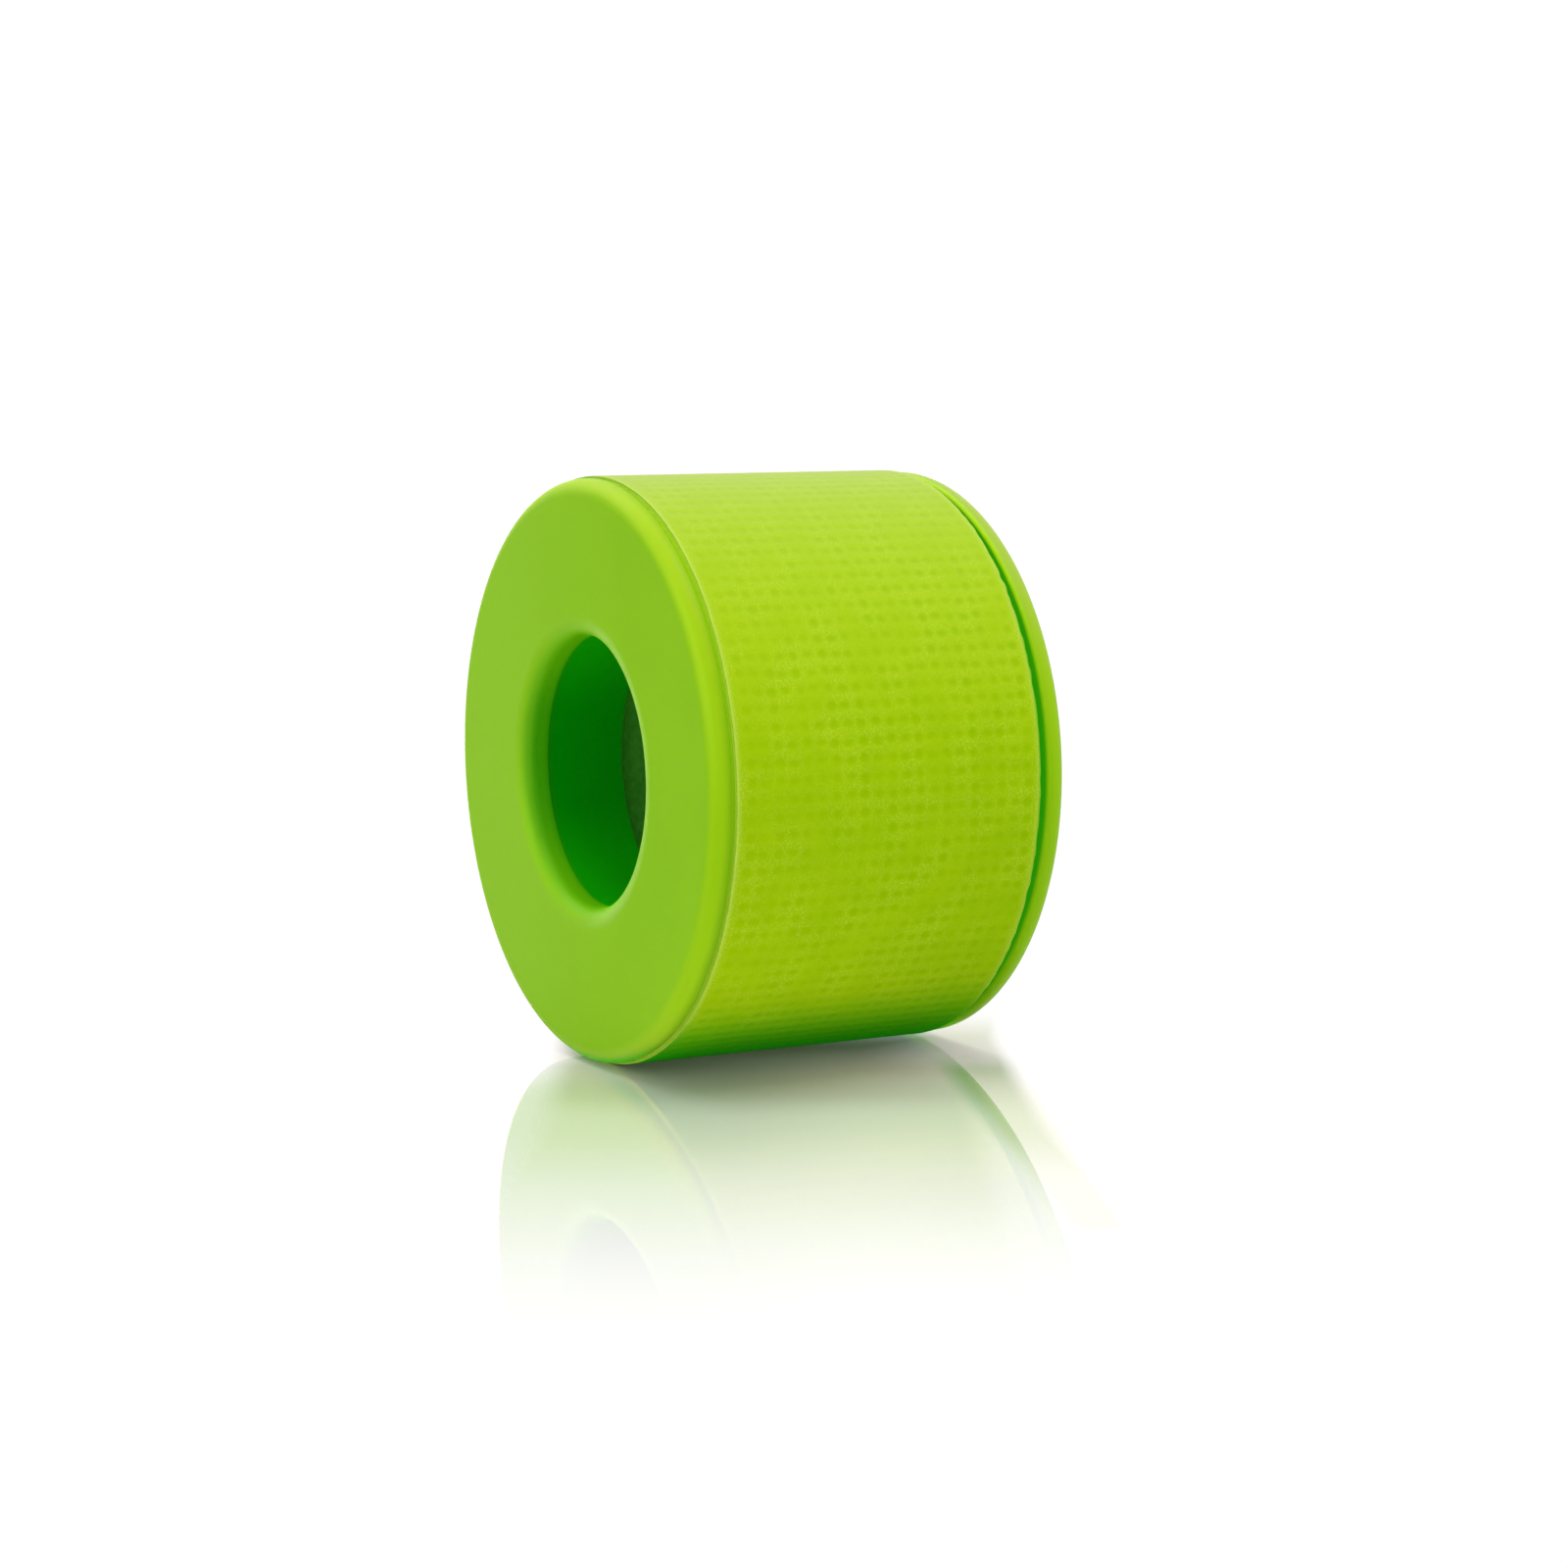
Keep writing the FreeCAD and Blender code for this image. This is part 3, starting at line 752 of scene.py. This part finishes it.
def floor_material():
    """White gloss board whose mirror image fades from the contact line. Lengths in metres."""
    mat = Material("floor_white")
    x, y, _ = mat.split(mat.object_place())
    view_x, view_y = 0.876, 0.483  # level direction to the camera is (view_x, -view_y)
    toward = x * view_x + y * -view_y  # nearer the camera
    aside = x * view_y + y * view_x  # to the camera's right
    closed = mat.openness(reach=0.03)

    # painted shadow: diffuse tone darker in the middle, and a painted grey-green strip of
    # reflection right of the mirror image
    painted_shadow_factor = (toward.ramp(over=(0.006, 0.018), to=(1, 0.95))
              * toward.ramp(over=(0.016, 0.027), to=(0.82, 1)))
    painted_shadow_factor = painted_shadow_factor * aside.ramp(over=(-0.004, 0.010), to=(0.86, 1)).max(
        toward.ramp(over=(0.006, 0.016), to=(1, 0)))
    strip_start, strip_slope = 0.0127, 0.116
    strip = (aside - (toward - strip_start) * strip_slope).ramp(over=(0.0138, 0.0160))
    strip = strip * (toward.ramp(over=(0.003, 0.010))
                     * toward.ramp(over=(0.010, 0.044), to=(1, 0.70)))
    # painted light: where the floor is closed in, a pinker, brighter tone cancels the green light
    # bounced onto it
    tone = mat.mix(closed.ramp(over=(0.20, 0.75)),
                   start=(1.22, 0.90, 1.024), end=(1.024, 1.012, 0.933))
    tone = tone.toward((0.475, 0.60, 0.395), share=strip)
    diffuse = mat.value("BsdfDiffuse", {"Color": mat.mix(painted_shadow_factor, start=(0, 0, 0), end=tone)})
    # painted glow, pink, in the floor's shade near the contact
    shade_glow_strength = closed.ramp(over=(0.55, 0.10), to=(0, 0.036)) * toward.ramp(over=(-0.004, 0.003))
    shade_glow = mat.value("Emission", {"Color": (1, 0, 0.68), "Strength": shade_glow_strength})
    under = mat.value("AddShader", {0: diffuse, 1: shade_glow})

    # the camera sees plain white further out; where white is mixed in only partly, nearer the roll,
    # it paints the shadow lighter
    right_slope = 0.066
    right = aside - toward.max(0) * right_slope
    plain = aside.ramp(over=(0.008, 0.016), to=(0, 0.15)) * toward.ramp(over=(0.012, 0.006))
    for border in (
        toward.ramp(over=(0.002, -0.018)),
        toward.ramp(over=(0.030, 0.050), to=(0, 0.70)),
        toward.ramp(over=(0.066, 0.086)),
        aside.ramp(over=(-0.0125, -0.0160)),
        right.ramp(over=(0.0176, 0.0200)),
        aside.ramp(over=(0.0175, 0.0195)) * toward.ramp(over=(0.050, 0.062)),
    ):
        plain = plain.max(border)
    seen = plain * mat.value("LightPath", out="Is Camera Ray")
    white = mat.value("Emission", {"Color": (1, 1, 1), "Strength": 1.04})
    board = mat.value("MixShader", {0: seen, 1: under, 2: white})

    # mirror image, from a normal that leans a little to the left and away
    left, away = 0.06, 0.002
    lean = Vector((-left * view_y - away * view_x, -left * view_x + away * view_y, 1.0))
    gloss = mat.value("BsdfGlossy", {
        "Roughness": 0.02, "Color": (1.20, 1.08, 0.95),
        "Normal": mat.value("CombineXYZ", dict(enumerate(lean.normalized()))),
    })
    share = (toward.ramp(over=(0.003, 0.021), to=(0.10, 0.46))
             * toward.ramp(over=(0.026, 0.084), to=(1, 0))
             * aside.ramp(over=(0.0145, 0.0175), to=(1, 0.70)))
    upper = mat.value("MixShader", {0: share, 1: board, 2: gloss})
    # clear from below
    return mat.finish(mat.value("MixShader", {
        0: mat.value("NewGeometry", out="Backfacing"),
        1: upper, 2: mat.value("BsdfTransparent"),
    }))


half = 6.0  # metres
corners = [(-half, -half, 0), (half, -half, 0), (half, half, 0), (-half, half, 0)]
floor_mesh = bpy.data.meshes.new("studio_floor")
floor_mesh.from_pydata(corners, [], [(0, 1, 2, 3)])
floor = bpy.data.objects.new("studio_floor", floor_mesh)
floor.location = (0, 0, FLOOR_Z * MM)
scene.collection.objects.link(floor)
give(floor, floor_material())

# ---------------------------------------------------------------- light


def studio_world():
    """Even white dome, brighter to the camera and in reflections, with two glossy-only lobes."""
    world = bpy.data.worlds.new("studio")
    scene.world = world
    world.use_nodes = True
    graph = Graph(world.node_tree)
    background = world.node_tree.nodes["Background"]
    background.inputs["Color"].default_value = (1, 1, 1, 1)

    def calc(operation, *values):
        return graph.value("Math", dict(enumerate(values)), operation=operation)

    rays = graph.add("LightPath").outputs
    direction = graph.value("TexCoord", out="Generated")
    seen = calc("MAXIMUM", rays["Is Camera Ray"], rays["Is Glossy Ray"])
    extra, even = 0.32, 0.80  # strength added for seen rays, and for all rays
    total = calc("MULTIPLY_ADD", seen, extra, even)
    # glossy rays that haven't bounced off a diffuse surface
    no_diffuse = calc("LESS_THAN", rays["Diffuse Depth"], 0.5)
    straight = calc("MULTIPLY", rays["Is Glossy Ray"], no_diffuse)
    # direction, range of its cosine over which the lobe rises, strength
    for axis, rise, strength in (
        ((0.05, -0.95, 0.22), (0.80, 0.97), 13),
        ((-0.35, -0.45, 0.82), (0.70, 0.97), 5),
    ):
        cosine = graph.value("VectorMath", {0: direction, 1: Vector(axis).normalized()},
                             out="Value", operation="DOT_PRODUCT")
        lobe = calc("MULTIPLY", cosine.ramp(over=rise, to=(0, strength)), straight)
        total = calc("ADD", total, lobe)
    graph.put(background.inputs["Strength"], total)


def aimed(name, data, location, backwards):
    """Link a light or camera, whose local +z points along backwards. location is in metres."""
    obj = bpy.data.objects.new(name, data)
    obj.location = location
    obj.rotation_mode = "QUATERNION"
    obj.rotation_quaternion = backwards
    scene.collection.objects.link(obj)
    return obj


studio_world()

softbox = bpy.data.lights.new("top_softbox", "AREA")
softbox.shape = "DISK"
softbox.size = 0.30  # metres
softbox.energy = 0.9
softbox_at = Vector((0.10, 0.00, 0.42))
aimed("top_softbox", softbox, softbox_at, softbox_at.to_track_quat("Z", "Y"))

scene.view_settings.view_transform = "Standard"
scene.view_settings.look = "None"
scene.view_settings.exposure = 0.0
scene.view_settings.gamma = 1.0

# ---------------------------------------------------------------- camera

eye = Vector((241.67, -130.31, 31.79)) * MM
look = Vector((-0.86935, 0.4791, -0.12118))
camera = bpy.data.cameras.new("camera")
camera.lens = 83.1
camera.sensor_width = 36.0
camera.clip_start = 0.01  # metres, as is clip_end
camera.clip_end = 50.0
scene.camera = aimed("camera", camera, eye, look.to_track_quat("-Z", "Y"))
